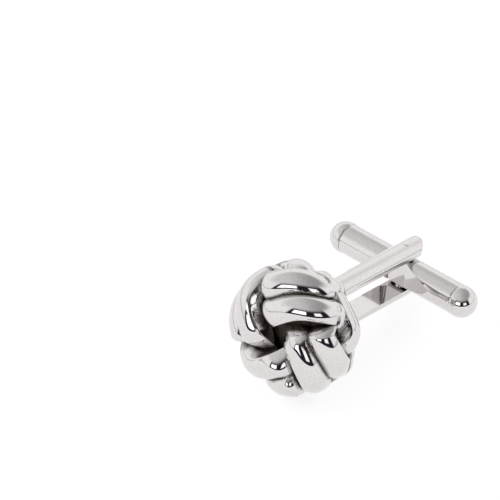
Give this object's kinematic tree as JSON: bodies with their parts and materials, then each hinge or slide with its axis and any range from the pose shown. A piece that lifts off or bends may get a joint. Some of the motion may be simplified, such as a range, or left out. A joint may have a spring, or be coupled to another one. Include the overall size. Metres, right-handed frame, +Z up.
{
  "type": "knot cufflink with swivel toggle back",
  "caption": "Woven-strand metal knot head on a forked post, with a bullet-nosed bar that swivels in line with the post to pass a cuff's buttonholes.",
  "frame": {"origin": "on the resting surface, under the middle of the cufflink's bounding box as it lies on its side", "axes": "+Z up; +Y from the knot towards the toggle, along the post seen from above; +X along the toggle seen from above"},
  "size_m": [0.02, 0.0258, 0.0145],
  "materials": {
    "head_plate": "bright rhodium plate over polished cast brass",
    "back_plate": "bright rhodium plate over polished milled brass",
    "nose_plate": "bright rhodium plate over turned brass",
    "pin_metal": "pin ends filed flush and polished"
  },
  "bodies": {
    "post": {"knot": "head_plate", "yoke": "back_plate", "pivot_pin": "pin_metal"},
    "toggle": {"toggle_bar": "back_plate", "toggle_nose_left": "nose_plate", "toggle_nose_right": "nose_plate"}
  },
  "joints": [
    {"name": "toggle_swivel", "type": "hinge", "parent": "post", "child": "toggle", "pos_m": [0, 0.01026, 0.00354], "axis": [-0.0155, 0.1925, 0.9812], "range_deg": [-86, 94]}
  ]
}
